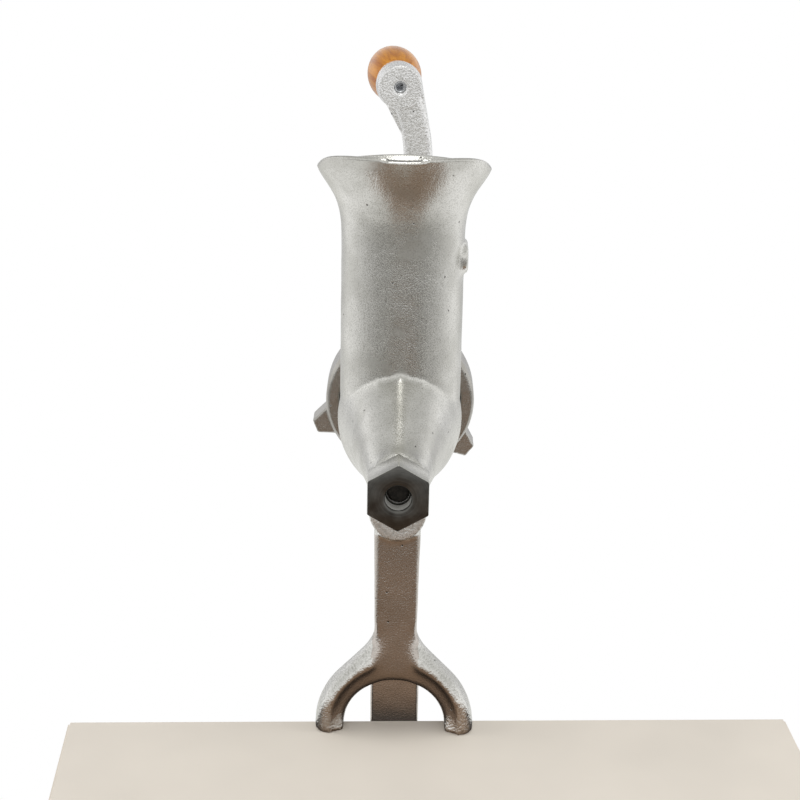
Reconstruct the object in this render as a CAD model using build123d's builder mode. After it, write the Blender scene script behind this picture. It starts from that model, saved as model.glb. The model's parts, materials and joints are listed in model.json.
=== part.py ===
from build123d import *
import math
import os

# Hand crank meat grinder with a table clamp. Every physical piece is its own solid.
#
# Frame: millimetres, +Z up. The origin lies on the table top, midway between the two feet, on the
# inner face of the clamp's spine. The shaft runs along Y at axis_height: its neck end points to -Y,
# over the table, and the ring nut and the crank are at +Y, beyond the table's edge.

# ---------------------------------------------------------------- fits
running_gap = 0.06          # radial gap of a shaft that turns in its hole
press_gap = 0.02            # radial gap drawn at a pressed or screwed joint that stays put
thread_gap = 0.1            # radial gap between the threads of a screw and its nut
seat_gap = 0.05             # between flat faces that rest on each other
free_gap = 0.6              # between curved faces that pass each other

# ---------------------------------------------------------------- casting: hopper and barrel
axis_height = 128.5         # shaft above the table top
wall = 3.8                  # wall of the hopper
hopper_y = 70.0             # middle of the hopper
hopper_radius = 30.8        # outside of the tube
throat_radius = 25.0        # inside of the tube where it opens into the barrel
flare_start = 86.5          # height above the shaft where the tube begins to flare
flare_height = 58.0         # height of the whole flare, before the rim is cut
flare_lip = 5.0             # how far below its upper end the sides have spread fully
flare_reach_side = 12.9     # how far the flare spreads to the sides
flare_side_power = 2.6      # the higher, the later the sides begin to spread
flare_reach_end = 14.2      # how far it spreads along the shaft
flare_end_power = 4.0       # the higher, the later the ends begin to spread
flare_stations = 10         # steps in which the flare is lofted
rim_edge_radius = 1.2       # rounding of the lip
mouth_tilt = 8.3            # degrees by which the mouth leans away from the neck
rim_drop = 8.8              # how far below the flare's upper end the rim is cut on the crank side
rim_rise = 13.3             # how much higher the rim stands on the neck side
rim_slope_length = 58.0     # length over which it rises
rim_slope_end = 16.0        # how far behind the hopper's middle the slope ends
neck_face_y = -12.0         # end face of the neck
neck_half_width = 14.0      # boss on the neck, an upright slot shape
neck_top = 15.8             # top of the boss above the shaft
neck_bottom = 28.4          # bottom of the boss below the shaft
boss_depth = 3.0            # how far the boss stands out from the cone
cone_small_radius = 14.3    # cone just behind the boss
cone_waist_y = 28.0         # the cone's sides are hollowed a little, most of all here
cone_waist_radius = 21.8    # its half width there
barrel_radius = 31.8        # outside of the barrel
barrel_crest = 47.5         # height of the casting above the shaft under the hopper
crest_lead = 6.0            # how far the crest lies in front of the hopper's middle
bore_radius = 27.0          # inside of the barrel
bore_small_radius = 13.8    # inside, at the bottom of the neck
bore_full_y = 64.0          # from here to the end the bore keeps its full size
neck_bottom_y = 6.0         # inner end of the neck's bearing
bearing_radius = 9.5        # hole for the auger's journal
barrel_end_y = 126.0        # flat end that the plate lies on
thread_length = 13.0        # length of the barrel's thread
thread_radius = 32.5        # outside of the barrel's thread
pad_height = 14.0           # plain raised pad on the hopper's side
pad_length = 24.0
pad_corner = 5.6
pad_proud = 1.8
pad_level = 92.5            # middle of the pad above the shaft
ridge_neck_width = 12.0     # soft keel along the top of the cone, at its neck end
ridge_neck_proud = 1.0
ridge_neck_fall = 1.5       # how far its flanks reach down the cone
ridge_hopper_width = 24.0   # the same at the hopper
ridge_hopper_proud = 1.6
ridge_hopper_fall = 3.0

# ---------------------------------------------------------------- casting: leg, feet and clamp
leg_top_half_width = 11.4   # half width of the leg under the neck
leg_half_width = 10.3       # just above the fork
leg_face_y = -10.0          # face towards the user's side of the table
leg_edge_radius = 3.0       # rounding of the leg's front edges
edge_margin = 0.1           # allowance when edges are picked by where they lie
fork_height = 45.5          # where the leg's sides turn out into the prongs
fork_radius = 12.0          # and the radius of that turn
foot_outside = 39.1         # half width across the feet
foot_face_y = -20.0         # front of the feet
foot_face_height = 19.0     # below this the front of the feet is upright
foot_corner_radius = 8.0    # outer corners of the feet, seen from above
foot_bend_radius = 20.0     # bends of the front, at the fork and above the feet
knee_height = 16.0          # where the prongs turn down
knee_radius = 36.0          # and the radius of that turn
fork_inset = 9.0            # half width of the leg's face where it runs down between the prongs
arch_half_width = 25.0      # arch between the feet
arch_height = 23.0
arch_straight = 2.0         # upright stretch at the bottom of the arch
arch_lean = 17.0            # degrees by which the arch's bevel leans back, like the prongs
arch_bevel_width = 7.0      # how much wider the arch opens at the front
arch_bevel_rise = 11.0      # how much higher it opens there
arch_bevel_depth = 4.0      # how far the bevel runs in
web_half_width = 4.5        # rib behind the leg and the spine
spine_half_width = 12.0
spine_depth = 10.0
spine_rib_depth = 6.0
spine_rib_taper = 2.0       # how much shallower the rib is at the bottom
jaw_level = -74.0           # upper face of the lower jaw
jaw_thickness = 14.0
jaw_corner = 8.0            # inner corner between spine and jaw
screw_y = -16.0             # clamp screw in front of the spine
screw_boss_radius = 13.0
screw_boss_height = 22.0

# ---------------------------------------------------------------- shaft pieces
thrust_washer_radius = 13.0
thrust_washer_thickness = 2.0
auger_shoulder_radius = 12.2
auger_root_radius = 10.0
auger_collar_radius = 12.5
auger_collar_length = 5.0
flight_pitch = 28.0
flight_thickness = 5.0
flight_start_y = 17.0
auger_shoulder_taper = 4.0  # length over which the shoulder narrows to the root
end_thread_radius = 5.6     # thread of the neck nut
nut_across_flats = 29.0
nut_length = 16.0
nut_pilot_radius = 6.25     # plain bore in front of the thread
nut_pilot_depth = 8.0
nut_chamfer = 0.8
nut_gap = 0.5               # between nut and neck, and between thread and pilot bore
knife_square = 13.0
knife_radius = 26.0
knife_thickness = 8.5
knife_hub_radius = 11.5
knife_blade_width = 9.0
knife_blades = 4
knife_first_angle = 45.0
knife_edge = 2.0            # upright height left behind the cutting edge
stud_shank_radius = 6.0
stud_shank_length = 26.0
stud_journal_radius = 6.45
crank_square = 10.5
stud_bore_depth = 24.0
stud_set_back = 1.0         # how far the stud's end lies inside the crank's hub
plate_radius = 31.0
plate_thickness = 5.0
plate_hole_radius = 2.75
plate_hole_rings = 3
plate_ring_spacing = 6.7
plate_ring_start = 4.0      # the first ring of holes lies one spacing beyond this radius
key_radius = 1.5
key_circle = 29.6
key_depth = 8.0
key_reach = 3.5             # how far the key stands out into the plate
key_angle = 90.0
key_slot_gap = 0.3          # room beside the key in the plate's notch
ring_radius = 40.0
ring_width = 24.0
ring_edge = 1.5             # chamfer round the ring
ring_mouth_radius = 27.5
ring_lip = 6.4              # thickness of the lip in front of the plate
lug_reach = 49.5
lug_root_width = 17.0
lug_tip_width = 7.5
lug_depth = 16.0
lug_first_angle = 81.5
lug_count = 3

# ---------------------------------------------------------------- crank and grip
crank_throw = 160.0         # from the shaft to the grip's pin
crank_set = -3.0            # the grip's pin stands this far to the side of the shaft
crank_bow = 8.2             # sideways reach of the lower half of the S-shaped arm
arm_width = 15.8
arm_thickness = 10.0
arm_face_y = 176.0          # face of the arm towards the hopper
arm_edge = 3.0
arm_root_length = 26.0      # over this length the arm widens into the boss
arm_root_inset = 1.5        # the widening is this much thinner than the arm on each face
hub_radius = 16.0
hub_reach = 16.0            # how far the hub stands out of the arm towards the hopper
crank_boss_radius = 12.8
crank_boss_end_radius = 11.8
crank_boss_reach = 6.0      # how far the boss stands out of the arm towards the hopper
crank_boss_length = 20.0
crank_screw_radius = 4.0
crank_washer_radius = 11.0
crank_washer_thickness = 1.6
washer_gap = 0.3            # between a loose washer and its screw
thumb_screw_clearance = 4.0 # between the end of the screw and the bottom of its hole
thumb_flange_radius = 8.5
thumb_flange_height = 9.0
thumb_flange_taper = 8.0    # degrees
thumb_wing_reach = 22.0
thumb_wing_height = 17.0
thumb_wing_lift = 2.0       # the wings begin this far above the flange's seat
thumb_wing_thickness = 4.0
thumb_dish_radius = 9.4     # hollow between the wings
thumb_dish_lift = 21.0      # its centre above the flange's seat
grip_cant = 4.5             # degrees by which the pin leans towards -X
grip_pin_radius = 3.0
grip_length = 68.0
grip_end_radius = 10.5
grip_end_slope = 0.4        # how steeply the grip widens at the crank
grip_belly_radius = 14.8
grip_belly_place = 19.0     # from the end at the crank
grip_tail_radius = 9.8
grip_tail_slope = 0.2       # how steeply it narrows towards the tail
grip_tail_length = 5.0      # rounded end beyond the tail
grip_stop_radius = 6.8
grip_washer_radius = 9.0
grip_washer_thickness = 1.2
grip_end_washer_radius = 5.6
grip_recess_gap = 0.4
grip_recess_depth = 4.0
grip_head_radius = 5.0
grip_head_height = 1.8
grip_head_edge = 1.0
pin_countersink = 1.1

# ---------------------------------------------------------------- clamp screw
table_thickness = 30.0      # height of the clamp's opening as it stands
clamp_pad_radius = 14.0
clamp_pad_thickness = 7.0
clamp_pad_edge = 2.5
pad_recess_radius = 7.6
pad_recess_depth = 2.6
spindle_radius = 6.0
spindle_tip_radius = 4.5
spindle_length = 96.0
retainer_radius = 7.0
retainer_thickness = 2.0
wing_bore_radius = 5.0
wing_bore_depth = 12.0
wing_hub_radius = 10.0
wing_hub_height = 18.0
wing_reach = 38.0
wing_height = 26.0
wing_drop = 2.0             # the wings begin this far below the top of their hub
wing_thickness = 8.0
wing_dish_radius = 13.0     # hollow between the wings
wing_dish_drop = 32.0       # its centre below the top of the hub

# ---------------------------------------------------------------- places worked out from them
shaft_origin = (0, 0, axis_height)
shaft_axis = Axis(shaft_origin, (0, 1, 0))
shaft_profile = Plane(origin=shaft_origin, x_dir=(0, 0, 1), z_dir=(-1, 0, 0))

cone_start_y = neck_face_y + boss_depth
crest_y = hopper_y - crest_lead
barrel_start_y = hopper_y + hopper_radius + wall
thrust_face_y = neck_bottom_y + thrust_washer_thickness
plate_y = barrel_end_y + seat_gap
plate_far_y = plate_y + plate_thickness
ring_far_y = plate_far_y + seat_gap + ring_lip
ring_near_y = ring_far_y - ring_width
knife_far_y = barrel_end_y - seat_gap
knife_near_y = knife_far_y - knife_thickness
auger_far_y = knife_near_y - seat_gap
nut_near_y = neck_face_y - nut_gap
nut_face_y = nut_near_y - nut_length
hub_face_y = arm_face_y - hub_reach
crank_boss_face_y = arm_face_y - crank_boss_reach
thread_end_y = nut_face_y + nut_pilot_depth + nut_gap
stud_end_y = arm_face_y + arm_thickness - stud_set_back

crank_boss_level = axis_height + crank_throw
lean = math.radians(grip_cant)
pin_direction = Vector(-math.sin(lean), math.cos(lean), 0)
pin_origin = Vector(crank_set, crank_boss_face_y, crank_boss_level)
pin_axis = Axis(pin_origin, pin_direction)
pin_profile = Plane(origin=pin_origin, x_dir=(0, 0, 1), z_dir=(-math.cos(lean), -math.sin(lean), 0))

pad_top = -table_thickness
pad_bottom = pad_top - clamp_pad_thickness
spindle_bottom = pad_bottom - spindle_length
wing_top = spindle_bottom + wing_bore_depth
screw_axis = Axis((0, screw_y, 0), (0, 0, 1))
screw_profile = Plane(origin=(0, screw_y, 0), x_dir=(1, 0, 0), z_dir=(0, -1, 0))


def across(y):
    """Plane across the shaft at y, with its own X to +X and its own Y up."""
    return Plane(origin=(0, y, axis_height), x_dir=(1, 0, 0), z_dir=(0, -1, 0))


def side_plane(x):
    """Plane at x, with its own X along +Y and its own Y up."""
    return Plane(origin=(x, 0, 0), x_dir=(0, 1, 0), z_dir=(1, 0, 0))


# ---------------------------------------------------------------- body casting
def mouth_plane(share):
    """Plane of the flare at a share of its height, leaning more the higher it is."""
    lean_here = math.radians(mouth_tilt * share**2)
    level = axis_height + flare_start + flare_height * share
    return Plane(
        origin=(0, hopper_y, level),
        x_dir=(1, 0, 0),
        z_dir=(0, math.sin(lean_here), math.cos(lean_here)),
    )


def hopper_form(base_radius, inset):
    """Tube that flares into the oval mouth, with its sides moved in by inset."""
    tube_radius = hopper_radius - inset
    with BuildPart() as form:
        with BuildSketch(Plane((0, hopper_y, axis_height))):
            Circle(base_radius)
        with BuildSketch(mouth_plane(0)):
            Circle(tube_radius)
        loft()
        for station in range(flare_stations + 1):
            share = station / flare_stations
            side_share = min(1, share * flare_height / (flare_height - flare_lip))
            side_spread = math.sin(math.pi / 2 * side_share**flare_side_power) ** 2
            with BuildSketch(mouth_plane(share)):
                Ellipse(
                    tube_radius + flare_reach_side * side_spread,
                    tube_radius + flare_reach_end * share**flare_end_power,
                )
        loft()
    return form.part


def above_rim():
    """Everything above the rim, which falls in a gentle S from the neck side to the crank side."""
    low = axis_height + flare_start + flare_height - rim_drop
    high = low + rim_rise
    foot_y = hopper_y + rim_slope_end
    top_y = foot_y - rim_slope_length
    middle = ((foot_y + top_y) / 2, (low + high) / 2)
    beyond = 90.0
    with BuildPart() as space:
        with BuildSketch(side_plane(0)):
            with BuildLine():
                Line((top_y - beyond, high), (top_y, high))
                TangentArc((top_y, high), middle, tangent=(1, 0))
                TangentArc((foot_y, low), middle, tangent=(-1, 0))
                Line((foot_y, low), (foot_y + beyond, low))
                Polyline(
                    (foot_y + beyond, low),
                    (foot_y + beyond, high + beyond),
                    (top_y - beyond, high + beyond),
                    (top_y - beyond, high),
                )
            make_face()
        extrude(amount=beyond, both=True)
    return space.part


def barrel_form():
    """Cone and barrel outside, deeper above the shaft where they run up into the hopper."""
    crest_half = (barrel_crest + barrel_radius) / 2
    waist_share = (cone_waist_y - cone_start_y) / (crest_y - cone_start_y)
    waist_top = cone_small_radius + (barrel_crest - cone_small_radius) * waist_share
    waist_half = (waist_top + cone_waist_radius) / 2
    with BuildPart() as form:
        with BuildSketch(across(cone_start_y)):
            Circle(cone_small_radius)
        with BuildSketch(across(cone_waist_y)):
            with Locations((0, waist_half - cone_waist_radius)):
                Ellipse(cone_waist_radius, waist_half)
        with BuildSketch(across(crest_y)):
            with Locations((0, crest_half - barrel_radius)):
                Ellipse(barrel_radius, crest_half)
        loft()
        with BuildSketch(across(crest_y)):
            with Locations((0, crest_half - barrel_radius)):
                Ellipse(barrel_radius, crest_half)
        with BuildSketch(across(barrel_start_y)):
            Circle(barrel_radius)
        loft(ruled=True)
        with BuildSketch(across(barrel_start_y)):
            Circle(barrel_radius)
        extrude(amount=-(barrel_end_y - thread_length - barrel_start_y))
        with BuildSketch(across(barrel_end_y - thread_length)):
            Circle(thread_radius)
        extrude(amount=-thread_length)
    return form.part


def arch_section(plane, half_width, height):
    """Outline of the arch between the feet, upright on the plane."""
    with BuildSketch(plane) as section:
        with BuildLine():
            EllipticalCenterArc(
                (0, arch_straight), half_width, height - arch_straight, start_angle=0, arc_size=180
            )
            Polyline(
                (-half_width, arch_straight),
                (-half_width, -arch_height),
                (half_width, -arch_height),
                (half_width, arch_straight),
            )
        make_face()
    return section.sketch


def leg_form():
    """Leg and forked feet: one front outline, cut to the side outline, with the arch cut out."""
    top = axis_height - neck_bottom + neck_half_width
    bevel_lean = math.radians(arch_lean)
    bevel_plane = Plane(
        origin=(0, foot_face_y, 0),
        x_dir=(1, 0, 0),
        z_dir=(0, -math.cos(bevel_lean), math.sin(bevel_lean)),
    )
    bevel_outline = (arch_half_width + arch_bevel_width, arch_height + arch_bevel_rise)
    # The knee's rounding has to end above the sole
    knee_turn = math.atan2(foot_outside - leg_half_width, fork_height - knee_height)
    widest_knee = 0.95 * knee_height / math.tan(knee_turn / 2)
    with BuildPart() as form:
        with BuildSketch(Plane.XZ):
            with BuildLine():
                FilletPolyline(
                    (leg_top_half_width, top),
                    (leg_half_width, fork_height),
                    (foot_outside, knee_height),
                    (foot_outside, 0),
                    radius=(fork_radius, min(knee_radius, widest_knee)),
                )
                Polyline((foot_outside, 0), (0, 0), (0, top), (leg_top_half_width, top))
            make_face()
            mirror(about=Plane.YZ)
        extrude(amount=-foot_face_y)
        with BuildSketch(side_plane(0)):
            with BuildLine():
                FilletPolyline(
                    (leg_face_y, top),
                    (leg_face_y, fork_height),
                    (foot_face_y, foot_face_height),
                    (foot_face_y, 0),
                    radius=foot_bend_radius,
                )
                Polyline((foot_face_y, 0), (0, 0), (0, top), (leg_face_y, top))
            make_face()
        extrude(amount=foot_outside, both=True, mode=Mode.INTERSECT)
        front_edges = form.edges().filter_by(
            lambda edge: edge.bounding_box().max.Y < leg_face_y + edge_margin
            and abs(edge.center().X) > leg_edge_radius
        )
        fillet(front_edges, leg_edge_radius)
        with BuildSketch(Plane.XY):
            RectangleRounded(2 * foot_outside, -2 * foot_face_y, foot_corner_radius)
        extrude(amount=top, mode=Mode.INTERSECT)
        # The leg's face runs down between the prongs, which lean forward beside it
        with BuildSketch(Plane.XZ.offset(-leg_face_y)):
            with Locations((0, fork_height / 2)):
                Rectangle(2 * fork_inset, fork_height)
        extrude(amount=leg_face_y - foot_face_y, mode=Mode.SUBTRACT)
        # The arch, with a bevel that opens it towards the front
        add(arch_section(Plane.XZ, arch_half_width, arch_height))
        extrude(amount=-2 * foot_face_y, dir=(0, -1, 0), mode=Mode.SUBTRACT)
        add(arch_section(bevel_plane, *bevel_outline))
        extrude(amount=leg_face_y - foot_face_y, dir=bevel_plane.z_dir, mode=Mode.SUBTRACT)
        add(arch_section(bevel_plane.offset(-arch_bevel_depth), arch_half_width, arch_height))
        add(arch_section(bevel_plane, *bevel_outline))
        loft(mode=Mode.SUBTRACT)
    return form.part


def clamp_form():
    """Spine, lower jaw and the rib that runs from the barrel down behind them."""
    jaw_bottom = jaw_level - jaw_thickness
    spine_top = fork_height
    cone_slope = (barrel_radius - cone_waist_radius) / (crest_y - cone_waist_y)
    rib_top_y = hopper_y - hopper_radius
    rib_top = axis_height - cone_waist_radius - cone_slope * (rib_top_y - cone_waist_y) + wall / 2
    rib_back = spine_depth + spine_rib_depth
    with BuildPart() as form:
        with BuildSketch(side_plane(0)):
            with BuildLine():
                Line((0, spine_top), (spine_depth, spine_top))
                Line((spine_depth, spine_top), (spine_depth, jaw_bottom + jaw_corner))
                RadiusArc(
                    (spine_depth, jaw_bottom + jaw_corner),
                    (spine_depth - jaw_corner, jaw_bottom),
                    jaw_corner,
                )
                Line((spine_depth - jaw_corner, jaw_bottom), (screw_y, jaw_bottom))
                Line((screw_y, jaw_bottom), (screw_y, jaw_level))
                Line((screw_y, jaw_level), (-jaw_corner, jaw_level))
                RadiusArc((-jaw_corner, jaw_level), (0, jaw_level + jaw_corner), jaw_corner)
                Line((0, jaw_level + jaw_corner), (0, spine_top))
            make_face()
        extrude(amount=spine_half_width, both=True)
        with BuildSketch(side_plane(0)):
            with BuildLine():
                Polyline(
                    (leg_face_y / 2, axis_height),
                    (leg_face_y / 2, spine_top / 2),
                    (spine_depth / 2, spine_top / 2),
                    (spine_depth / 2, jaw_bottom + jaw_corner),
                    (rib_back - spine_rib_taper, jaw_bottom + jaw_corner + spine_rib_depth),
                    (rib_back, fork_height),
                )
                TangentArc((rib_back, fork_height), (rib_top_y, rib_top), tangent=(0, 1))
                Polyline((rib_top_y, rib_top), (rib_top_y, axis_height), (leg_face_y / 2, axis_height))
            make_face()
        extrude(amount=web_half_width, both=True)
        with BuildSketch(Plane.XY.offset(jaw_level + (screw_boss_height - jaw_thickness) / 2)):
            with Locations((0, screw_y)):
                Circle(screw_boss_radius)
        extrude(amount=-screw_boss_height)
    return form.part


def ridge_form():
    """Soft keel along the top of the cone, from the neck to the hopper."""
    run = crest_y - cone_start_y
    rise = barrel_crest - cone_small_radius
    slope = rise / run
    far_y = hopper_y - hopper_radius + wall
    with BuildPart() as form:
        for y, width, proud, fall in (
            (cone_start_y, ridge_neck_width, ridge_neck_proud, ridge_neck_fall),
            (far_y, ridge_hopper_width, ridge_hopper_proud, ridge_hopper_fall),
        ):
            cone_top = cone_small_radius + slope * (y - cone_start_y)
            with BuildSketch(across(y)):
                Polygon(
                    (-width / 2, cone_top - fall),
                    (width / 2, cone_top - fall),
                    (0, cone_top + proud),
                    align=None,
                )
        loft(ruled=True)
    return form.part


with BuildPart() as body_casting:
    add(hopper_form(hopper_radius, 0))
    add(barrel_form())
    add(leg_form())
    add(clamp_form())
    add(ridge_form())
    # Boss on the neck
    with BuildSketch(across(neck_face_y)):
        with Locations((0, (neck_top - neck_bottom) / 2)):
            SlotOverall(neck_top + neck_bottom, 2 * neck_half_width, rotation=90)
    extrude(amount=-(boss_depth + wall))
    # Plain raised pad on the hopper's side
    with BuildSketch(Plane.YZ.offset(hopper_radius - wall / 2)):
        with Locations((hopper_y, axis_height + pad_level)):
            RectangleRounded(pad_length, pad_height, pad_corner)
    extrude(amount=wall / 2 + pad_proud)
    # Hollow of the hopper, and the rim
    add(hopper_form(throat_radius, wall), mode=Mode.SUBTRACT)
    add(above_rim(), mode=Mode.SUBTRACT)
    fillet(
        body_casting.edges().filter_by(
            lambda edge: edge.bounding_box().min.Z
            > axis_height + flare_start + flare_height - rim_drop - edge_margin
        ),
        rim_edge_radius,
    )
    # Bore of the barrel, tapered below the neck
    with BuildSketch(shaft_profile):
        Polygon(
            (0, neck_bottom_y),
            (bore_small_radius, neck_bottom_y),
            (bore_radius, bore_full_y),
            (bore_radius, barrel_end_y),
            (0, barrel_end_y),
            align=None,
        )
    revolve(axis=shaft_axis, mode=Mode.SUBTRACT)
    # Bearing in the neck
    with BuildSketch(across(neck_face_y)):
        Circle(bearing_radius)
    extrude(amount=-(neck_bottom_y - neck_face_y), mode=Mode.SUBTRACT)
    # Thread for the clamp screw
    with BuildSketch(Plane.XY.offset(jaw_level + screw_boss_height)):
        with Locations((0, screw_y)):
            Circle(spindle_radius + thread_gap)
    extrude(amount=-2 * screw_boss_height - jaw_thickness, mode=Mode.SUBTRACT)
    # Hole for the plate's key
    with BuildSketch(across(barrel_end_y)):
        with PolarLocations(key_circle, 1, start_angle=key_angle):
            Circle(key_radius + press_gap)
    extrude(amount=key_depth, mode=Mode.SUBTRACT)
body_casting.part.label = "body_casting"

# ---------------------------------------------------------------- pieces on the shaft
with BuildPart() as plate_key_pin:
    with BuildSketch(across(barrel_end_y - key_depth)):
        with PolarLocations(key_circle, 1, start_angle=key_angle):
            Circle(key_radius)
    extrude(amount=-(key_depth + key_reach))
plate_key_pin.part.label = "plate_key_pin"

with BuildPart() as thrust_washer:
    with BuildSketch(across(neck_bottom_y)):
        Circle(thrust_washer_radius)
        Circle(bearing_radius + press_gap, mode=Mode.SUBTRACT)
    extrude(amount=-thrust_washer_thickness)
thrust_washer.part.label = "thrust_washer"


def flight_blank():
    """Single flight as a twisted prism, still with its full radius from end to end."""
    length = auger_far_y - auger_collar_length - flight_start_y
    spread = 360 * flight_thickness / flight_pitch
    flight_radius = bore_radius - free_gap
    with BuildSketch(Plane.XY) as sector:
        with BuildLine():
            start = PolarLine((0, 0), flight_radius, -spread / 2)
            rim = CenterArc((0, 0), flight_radius, -spread / 2, spread)
            Line(rim @ 1, start @ 0)
        make_face()
    twisted = Solid.extrude_linear_with_rotation(
        sector.sketch.faces()[0], (0, 0, 0), (0, 0, length), 360 * length / flight_pitch
    )
    return Plane(origin=(0, flight_start_y, axis_height), x_dir=(1, 0, 0), z_dir=(0, 1, 0)) * twisted


with BuildPart() as auger:
    add(flight_blank())
    # The flight is cut down to the taper of the bore, a little smaller than it
    with BuildSketch(shaft_profile):
        Polygon(
            (bore_small_radius - free_gap, thrust_face_y),
            (bore_radius - free_gap, bore_full_y + thrust_face_y - neck_bottom_y),
            (bore_radius, bore_full_y + thrust_face_y - neck_bottom_y),
            (bore_radius, thrust_face_y),
            align=None,
        )
    revolve(axis=shaft_axis, mode=Mode.SUBTRACT)
    # Root, shoulder, journal, thread and collar
    with BuildSketch(shaft_profile):
        Polygon(
            (0, thread_end_y),
            (end_thread_radius - press_gap, thread_end_y),
            (end_thread_radius - press_gap, nut_near_y),
            (bearing_radius - running_gap, nut_near_y),
            (bearing_radius - running_gap, thrust_face_y + seat_gap),
            (auger_shoulder_radius, thrust_face_y + seat_gap),
            (auger_shoulder_radius, flight_start_y - auger_shoulder_taper),
            (auger_root_radius, flight_start_y),
            (auger_root_radius, auger_far_y - auger_collar_length),
            (auger_collar_radius, auger_far_y - auger_collar_length),
            (auger_collar_radius, auger_far_y),
            (0, auger_far_y),
            align=None,
        )
    revolve(axis=shaft_axis)
    # Hole for the stud
    with BuildSketch(across(auger_far_y)):
        Circle(stud_shank_radius + press_gap)
    extrude(amount=stud_shank_length, mode=Mode.SUBTRACT)
auger.part.label = "auger"

with BuildPart() as neck_nut:
    with BuildSketch(across(nut_face_y)):
        RegularPolygon(nut_across_flats / 2, 6, major_radius=False, rotation=30)
        Circle(end_thread_radius, mode=Mode.SUBTRACT)
    extrude(amount=-nut_length)
    with BuildSketch(across(nut_face_y)):
        Circle(nut_pilot_radius)
    extrude(amount=-nut_pilot_depth, mode=Mode.SUBTRACT)
    chamfer(neck_nut.edges().filter_by(GeomType.CIRCLE).sort_by(Axis.Y)[0], nut_chamfer)
neck_nut.part.label = "neck_nut"

with BuildPart() as drive_stud:
    with BuildSketch(across(auger_far_y - stud_shank_length)):
        Circle(stud_shank_radius)
    extrude(amount=-stud_shank_length)
    with BuildSketch(across(auger_far_y)):
        Rectangle(knife_square, knife_square)
    extrude(amount=-(barrel_end_y - auger_far_y))
    with BuildSketch(across(barrel_end_y)):
        Circle(stud_journal_radius)
    extrude(amount=-(hub_face_y - barrel_end_y))
    with BuildSketch(across(hub_face_y)):
        Circle(stud_journal_radius)
        Rectangle(crank_square, crank_square, mode=Mode.INTERSECT)
    extrude(amount=-(stud_end_y - hub_face_y))
    with BuildSketch(across(stud_end_y)):
        Circle(crank_screw_radius + press_gap)
    extrude(amount=stud_bore_depth, mode=Mode.SUBTRACT)
drive_stud.part.label = "drive_stud"

with BuildPart() as knife:
    # Each blade is upright on its leading side and slopes away behind its cutting edge
    for blade in range(knife_blades):
        turn = math.radians(knife_first_angle + 360 / knife_blades * blade)
        outward = Vector(math.cos(turn), 0, math.sin(turn))
        leading = Vector(-math.sin(turn), 0, math.cos(turn))
        with BuildSketch(Plane(origin=shaft_origin, x_dir=leading, z_dir=outward)):
            Polygon(
                (knife_blade_width / 2, -knife_far_y),
                (knife_blade_width / 2, -knife_near_y),
                (0, -knife_near_y),
                (-knife_blade_width / 2, -knife_far_y + knife_edge),
                (-knife_blade_width / 2, -knife_far_y),
                align=None,
            )
        extrude(amount=knife_radius)
    with BuildSketch(across(knife_near_y)):
        Circle(knife_radius)
    extrude(amount=-knife_thickness, mode=Mode.INTERSECT)
    with BuildSketch(across(knife_near_y)):
        Circle(knife_hub_radius)
    extrude(amount=-knife_thickness)
    with BuildSketch(across(knife_near_y)):
        Rectangle(knife_square + 2 * press_gap, knife_square + 2 * press_gap)
    extrude(amount=-knife_thickness, mode=Mode.SUBTRACT)
knife.part.label = "knife"

with BuildPart() as cutting_plate:
    with BuildSketch(across(plate_y)):
        Circle(plate_radius)
        Circle(stud_journal_radius + running_gap, mode=Mode.SUBTRACT)
        for ring in range(1, plate_hole_rings + 1):
            with PolarLocations(plate_ring_start + plate_ring_spacing * ring, 6 * ring):
                Circle(plate_hole_radius, mode=Mode.SUBTRACT)
        with PolarLocations(key_circle, 1, start_angle=key_angle):
            SlotCenterToCenter(4 * key_radius, 2 * (key_radius + key_slot_gap), mode=Mode.SUBTRACT)
    extrude(amount=-plate_thickness)
cutting_plate.part.label = "cutting_plate"

with BuildPart() as ring_nut:
    with BuildSketch(across(ring_near_y)):
        Circle(ring_radius)
    extrude(amount=-ring_width)
    chamfer(ring_nut.edges(), ring_edge)
    with BuildSketch(across(ring_far_y - lug_depth)):
        with PolarLocations(0, lug_count, start_angle=lug_first_angle):
            Polygon(
                (ring_mouth_radius, -lug_root_width / 2),
                (ring_radius - ring_edge, -lug_root_width / 2),
                (lug_reach, -lug_tip_width / 2),
                (lug_reach, lug_tip_width / 2),
                (ring_radius - ring_edge, lug_root_width / 2),
                (ring_mouth_radius, lug_root_width / 2),
                align=None,
            )
    extrude(amount=-(lug_depth - ring_edge))
    with BuildSketch(across(ring_near_y)):
        Circle(thread_radius + thread_gap)
    extrude(amount=-(plate_far_y + seat_gap - ring_near_y), mode=Mode.SUBTRACT)
    with BuildSketch(across(ring_near_y)):
        Circle(ring_mouth_radius)
    extrude(amount=-ring_width, mode=Mode.SUBTRACT)
ring_nut.part.label = "ring_nut"

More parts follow.
